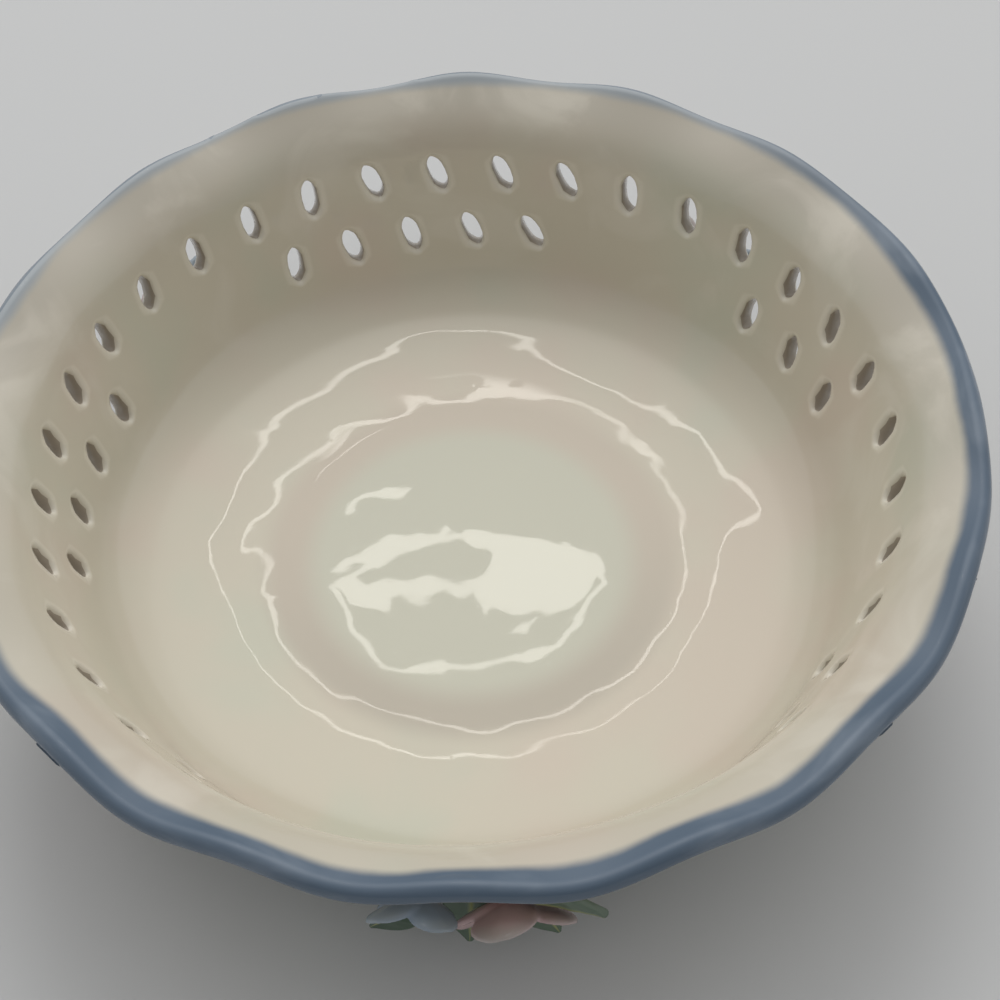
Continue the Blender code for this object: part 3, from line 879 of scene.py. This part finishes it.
def button_glaze():
    """Yellow glaze, brown in clouds where it pools."""
    made, tree, shader, place, uneven = new_glaze("yellow_button_glaze")
    tone = soft_step(tree, uneven["Cloud"], *YELLOW_CLOUD)
    finish_glaze(tree, shader, uneven, blend(tree, tone, YELLOW_BROWN, YELLOW), GLOSS, POSY_DULL, POSY_WAVE)
    return made


button_finish = button_glaze()
for kind in FLOWERS:
    size = kind["button"]
    seat = CORE_HEIGHT + BUTTON_LIFT
    ring = size * BEAD_RING
    beads = [(0.0, 0.0, seat + size * MIDDLE_RAISED, size * MIDDLE_BEAD)]
    for number in range(BEADS):
        turn = 2 * math.pi * number / BEADS
        beads.append((ring * math.cos(turn), ring * math.sin(turn), seat, size * SMALL_BEAD))
    lumps = []
    for x, y, height, radius in beads:
        lump = add_ball(segments=16, rings=10)
        for vertex in lump.data.vertices:
            vertex.co = Vector((x, y, height)) + vertex.co * radius
        lumps.append(lump)
    button = join_pieces(lumps, "beaded_button")
    apply_modifier(button, "REMESH", mode="VOXEL", voxel_size=BUTTON_VOXEL)
    apply_modifier(button, "SMOOTH", factor=0.5, iterations=2)
    bpy.ops.object.shade_smooth()
    lay_on_wall(button, kind["along"], kind["up"])
    give_each_posy(button, f"{kind['name']}_button", button_finish)


# The leaves: rolled flat, cut to a point and veined with a tool. One lies on the wall with its tip left
# standing off; the other three stand out from the wall under the flowers and face up.
LEAF_THICKNESS = 0.0017
LEAVES = (
    dict(name="right", along=0.0022, up=0.0052, length=0.0108, width=0.0056,
         turn=math.radians(-2), lift=0.0052),
    dict(name="left", along=-0.0116, up=-0.0090, length=0.0112, width=0.0072,
         turn=math.radians(140), droop=0.0006),
    dict(name="middle", along=-0.0048, up=-0.0100, length=0.0094, width=0.0094,
         turn=math.radians(94), droop=0.0004),
    dict(name="front", along=0.0036, up=-0.0106, length=0.0106, width=0.0086,
         turn=math.radians(66), droop=0.0004),
)
LEAF_ROWS = 20
LEAF_COLUMNS = 12
VEIN_DEPTH = 0.00044
RIB_HEIGHT = 0.0003
SLIP_DEPTH = 0.0003
RIB_WIDTH = 0.12
VEINS = 5
VEIN_SLANT = 1.3
LEAF_SEAT = 0.65
LEAF_CROWN = 0.5
LEAF_CORE = 0.75
CROWN_FADE = 2.4
STALK_WIDTH = 0.16
TIP_DRAWN_IN = 0.75
LEAF_GREEN = (0.12, 0.17, 0.12)
LEAF_DARK = (0.08, 0.12, 0.085)
RIB_YELLOW = (0.30, 0.32, 0.14)
LEAF_CLOUD = (0.4, 0.62)
RIB_EDGE = (0.30, 0.12)
RIB_RAGGED = 0.25


def leaf_glaze():
    """Dark green glaze, thin and yellowish along the raised midrib."""
    made, tree, shader, place, uneven = new_glaze("green_leaf_glaze")
    rib = add_node(tree, "ShaderNodeAttribute", {"attribute_name": "from_rib"}).outputs["Fac"]
    colour = blend(tree, soft_step(tree, uneven["Pooling"], *LEAF_CLOUD), LEAF_DARK, LEAF_GREEN)
    thin = calculate(tree, "ADD", rib, calculate(tree, "MULTIPLY", uneven["Cloud"], RIB_RAGGED))
    colour = blend(tree, soft_step(tree, thin, *RIB_EDGE), colour, RIB_YELLOW)
    finish_glaze(tree, shader, uneven, colour, GLOSS, POSY_DULL, POSY_WAVE)
    return made


def leaf_half(kind, t):
    """Half of a leaf's width at a share of its length."""
    broad = STALK_WIDTH + (1 - STALK_WIDTH) * math.sin(math.pi * t**0.8)
    return kind["width"] / 2 * broad * (1 - TIP_DRAWN_IN * t**6)


def stand_out(piece, kind):
    """Turns a flat-modelled leaf to face up and point out from the wall, its nearest edge in the slip."""
    ahead, aside = math.cos(kind["turn"]), math.sin(kind["turn"])
    steps = [step / LEAF_ROWS for step in range(LEAF_ROWS + 1)]
    nearest = min(kind["length"] * t * aside - leaf_half(kind, t) * abs(ahead) for t in steps)
    for vertex in piece.data.vertices:
        x, y, height = vertex.co
        droop = kind["droop"] * (x / kind["length"]) ** 2
        vertex.co = (x * ahead - y * aside, height - droop, x * aside + y * ahead - nearest - SLIP_DEPTH)


leaf_finish = leaf_glaze()
for kind in LEAVES:
    lift = kind.get("lift", 0.0)
    deselect_all()
    bpy.ops.mesh.primitive_grid_add(x_subdivisions=LEAF_ROWS, y_subdivisions=LEAF_COLUMNS, size=2)
    leaf = start_piece("rolled_leaf")
    ribs = []
    for vertex in leaf.data.vertices:
        t = (vertex.co.x + 1) / 2
        across = vertex.co.y
        aside = abs(across)
        half = leaf_half(kind, t)
        crown = LEAF_THICKNESS * LEAF_CROWN * (1 - aside**1.5) + RIB_HEIGHT * bell(across, RIB_WIDTH)
        vein = VEIN_DEPTH * math.sin(2 * math.pi * (VEINS * t + VEIN_SLANT * aside)) * aside * (1 - aside)
        top = LEAF_THICKNESS * LEAF_SEAT + (crown + vein) * min(1.0, CROWN_FADE * half / kind["width"])
        vertex.co = (kind["length"] * t, half * across, lift * t * t + top)
        ribs.append(aside)
    bpy.ops.object.mode_set(mode="EDIT")
    bpy.ops.mesh.select_all(action="SELECT")
    bpy.ops.mesh.normals_make_consistent(inside=False)
    bpy.ops.object.mode_set(mode="OBJECT")
    mark = leaf.data.attributes.new("from_rib", "FLOAT", "POINT")
    mark.data.foreach_set("value", ribs)
    apply_modifier(leaf, "SOLIDIFY", thickness=LEAF_THICKNESS * LEAF_CORE, offset=-1.0)
    apply_modifier(leaf, "SUBSURF", levels=1, render_levels=1)
    bpy.ops.object.shade_smooth()
    if "droop" in kind:
        stand_out(leaf, kind)
        lay_on_wall(leaf, kind["along"], kind["up"])
    else:
        lay_on_wall(leaf, kind["along"], kind["up"], kind["turn"])
    give_each_posy(leaf, f"{kind['name']}_leaf", leaf_finish)


# The table: a plain matt top in pale grey that the bowl stands free on and shades. It is there for the
# picture and isn't part of the object.
TABLE_GREY = (0.55, 0.555, 0.555, 1.0)
TABLE_SIZE = 6.0
TABLE_ROUGH = 0.6
deselect_all()
bpy.ops.mesh.primitive_plane_add(size=TABLE_SIZE)
table = start_piece("table_top")
table_matt = bpy.data.materials.new("table_matt")
table_matt.use_nodes = True
table_shader = table_matt.node_tree.nodes["Principled BSDF"]
table_shader.inputs["Base Color"].default_value = TABLE_GREY
table_shader.inputs["Roughness"].default_value = TABLE_ROUGH
table.data.materials.append(table_matt)


# The light: a room that is brightest high up behind the bowl, a soft lamp there, and what the glaze shows of
# it: the lamp's bright outline and a few bright patches in and beside that.
scene.view_settings.view_transform = "Standard"
world = bpy.data.worlds.new("soft_room")
scene.world = world
world.use_nodes = True
room = world.node_tree
ROOM_GLOWS = (
    dict(towards=(0.0, 0.6, 0.8), narrow=6.0, glow=1.45),
    dict(towards=(0.0, 0.0, 1.0), narrow=3.0, glow=0.38),
    dict(towards=(0.0, 1.0, 0.1), narrow=3.0, glow=0.3),
    dict(towards=(0.0, -1.0, 0.2), narrow=2.0, glow=0.18),
    dict(towards=(-1.0, 0.0, 0.3), narrow=2.0, glow=0.62),
    dict(towards=(1.0, 0.0, 0.3), narrow=2.0, glow=0.70),
)
room_way = add_node(room, "ShaderNodeTexCoord").outputs["Generated"]
room_light = 0.0
for glow in ROOM_GLOWS:
    direction = Vector(glow["towards"]).normalized()
    facing = calculate_vector(room, "DOT_PRODUCT", room_way, direction)["Value"]
    near = calculate(room, "POWER", calculate(room, "MAXIMUM", facing, 0.0), glow["narrow"])
    room_light = calculate(room, "ADD", calculate(room, "MULTIPLY", near, glow["glow"]), room_light)
room.nodes["Background"].inputs["Color"].default_value = (1.0, 1.0, 1.0, 1.0)
room.links.new(room_light, room.nodes["Background"].inputs["Strength"])

BACK_LAMP_PLACE = Vector((0.03, 0.85, 1.28))
BACK_LAMP_AIM = Vector((0.0, 0.0, 0.02))
BACK_LAMP_SIZE = 0.7
BACK_LAMP_POWER = 4.8
deselect_all()
bpy.ops.object.light_add(type="AREA", location=BACK_LAMP_PLACE)
back_lamp = bpy.context.object
back_lamp.name = "back_lamp"
back_lamp.data.size = BACK_LAMP_SIZE
back_lamp.data.energy = BACK_LAMP_POWER
back_lamp.rotation_euler = (BACK_LAMP_AIM - BACK_LAMP_PLACE).to_track_quat("-Z", "Y").to_euler()
back_lamp.visible_glossy = False

LAMP_DISTANCE = 1.8
LAMP_DIRECTION = Vector((0.0, 0.545, 0.839))
LAMP_LINE = 0.0075
LAMP_GLOW = 6.5
LAMP_COLOUR = (1.0, 0.98, 0.93, 1.0)
SHAKE_ALONG = 7.3
SHAKE_ACROSS = 5.1
LAMP_OUTLINE = ((0.166, -0.042), (0.147, -0.059), (0.082, -0.087), (0.039, -0.096), (-0.091, -0.082),
                (-0.136, -0.059), (-0.148, -0.034), (-0.091, 0.041), (-0.053, 0.059), (0.077, 0.063),
                (0.106, 0.051))


def glow_material(name):
    """A black surface that shines in the lamp's colour."""
    made = bpy.data.materials.new(name)
    made.use_nodes = True
    shader = made.node_tree.nodes["Principled BSDF"]
    shader.inputs["Base Color"].default_value = (0.0, 0.0, 0.0, 1.0)
    shader.inputs["Emission Color"].default_value = LAMP_COLOUR
    shader.inputs["Emission Strength"].default_value = LAMP_GLOW
    return made


def outline_panel(name, outline, steps, ragged):
    """A flat panel with the given outline; each edge is cut in steps and left ragged."""
    deselect_all()
    bpy.ops.mesh.primitive_circle_add(vertices=len(outline) * steps, radius=0.1, fill_type="NGON")
    panel = start_piece(name)
    for number, vertex in enumerate(panel.data.vertices):
        corner, step = divmod(number, steps)
        start = Vector(outline[corner])
        end = Vector(outline[(corner + 1) % len(outline)])
        shake = Vector((math.sin(SHAKE_ALONG * number), math.sin(SHAKE_ACROSS * number + 1))) * ragged
        vertex.co.xy = start.lerp(end, step / steps) + shake
    return panel


lamp_frame = outline_panel("lamp_frame", LAMP_OUTLINE, 1, 0.0)
bpy.ops.object.mode_set(mode="EDIT")
bpy.ops.mesh.select_all(action="SELECT")
bpy.ops.mesh.inset(thickness=LAMP_LINE)
bpy.ops.mesh.delete(type="FACE")
bpy.ops.object.mode_set(mode="OBJECT")
turn_to_bowl = (-LAMP_DIRECTION).to_track_quat("-Z", "Y").to_matrix().to_4x4()
lamp_place = Matrix.Translation(LAMP_DIRECTION * LAMP_DISTANCE) @ turn_to_bowl
lamp_frame.data.transform(lamp_place)
lamp_frame.data.materials.append(glow_material("lamp_glow"))

# The patches shine through a grid of small cells, which lets light out only towards the flat middle of the
# floor. It doesn't depend on where the camera stands.
GRID_SLANT = (0.0155, 0.0136)
PATCH_STEPS = 4
PATCH_RAGGED = 0.003
grid_glow = glow_material("grid_glow")
grid = grid_glow.node_tree
way = add_node(grid, "ShaderNodeNewGeometry").outputs
straight = calculate_vector(grid, "NORMALIZE", way["Position"])["Vector"]
aside = calculate_vector(grid, "CROSS_PRODUCT", way["Incoming"], straight)["Vector"]
slant = calculate_vector(grid, "LENGTH", aside)["Value"]
grid.links.new(soft_step(grid, slant, *GRID_SLANT), grid.nodes["Principled BSDF"].inputs["Alpha"])

PATCH_OUTLINES = (
    ((0.011, -0.091), (-0.011, -0.095), (-0.067, -0.081), (-0.106, -0.078), (-0.138, -0.053),
     (-0.130, -0.026), (-0.100, 0.001), (-0.072, 0.001), (-0.029, -0.015), (-0.006, -0.006),
     (-0.002, -0.034), (-0.021, -0.066)),
    ((0.159, -0.050), (0.144, -0.027), (0.122, -0.015), (0.094, -0.026), (0.049, -0.025), (0.016, -0.024),
     (-0.008, -0.036), (0.048, -0.043), (0.081, -0.045), (0.115, -0.044), (0.130, -0.065)),
    ((0.158, -0.067), (0.118, -0.086), (0.078, -0.098), (0.033, -0.102), (0.011, -0.096), (0.045, -0.090),
     (0.090, -0.082), (0.119, -0.070)),
    ((0.138, -0.130), (0.092, -0.145), (0.058, -0.144), (0.095, -0.133)),
    ((-0.032, 0.016), (-0.052, 0.020), (-0.072, 0.005), (-0.055, 0.007)),
)
for number, outline in enumerate(PATCH_OUTLINES):
    patch = outline_panel(f"bright_patch_{number}", outline, PATCH_STEPS, PATCH_RAGGED)
    patch.data.transform(lamp_place)
    patch.data.materials.append(grid_glow)


# The camera: at the photograph's place, above and in front of the bowl. Its place, turns and lens were
# fitted to the rim's outline and the rows of holes.
RIM_MIDDLE = Vector((0.0, 0.0, 0.047))
CAMERA_DISTANCE = 0.288
CAMERA_ELEVATION = math.radians(50.548)
CAMERA_YAW = math.radians(0.975)
CAMERA_PITCH = math.radians(-2.458)
CAMERA_ROLL = math.radians(3.636)
CAMERA_LENS = 67.84
CAMERA_SENSOR = 36.0
CAMERA_NEAR = 0.01
level_back = Vector((0.0, -math.cos(CAMERA_ELEVATION), math.sin(CAMERA_ELEVATION)))
camera_turn = (-level_back).to_track_quat("-Z", "Y").to_matrix()
yaw = Matrix.Rotation(-CAMERA_YAW, 3, "Y")
pitch = Matrix.Rotation(CAMERA_PITCH, 3, "X")
roll = Matrix.Rotation(-CAMERA_ROLL, 3, "Z")
deselect_all()
bpy.ops.object.camera_add(location=RIM_MIDDLE + level_back * CAMERA_DISTANCE)
camera = bpy.context.object
camera.name = "photo_camera"
camera.rotation_euler = (camera_turn @ yaw @ pitch @ roll).to_euler()
camera.data.lens = CAMERA_LENS
camera.data.sensor_width = CAMERA_SENSOR
camera.data.clip_start = CAMERA_NEAR
scene.camera = camera
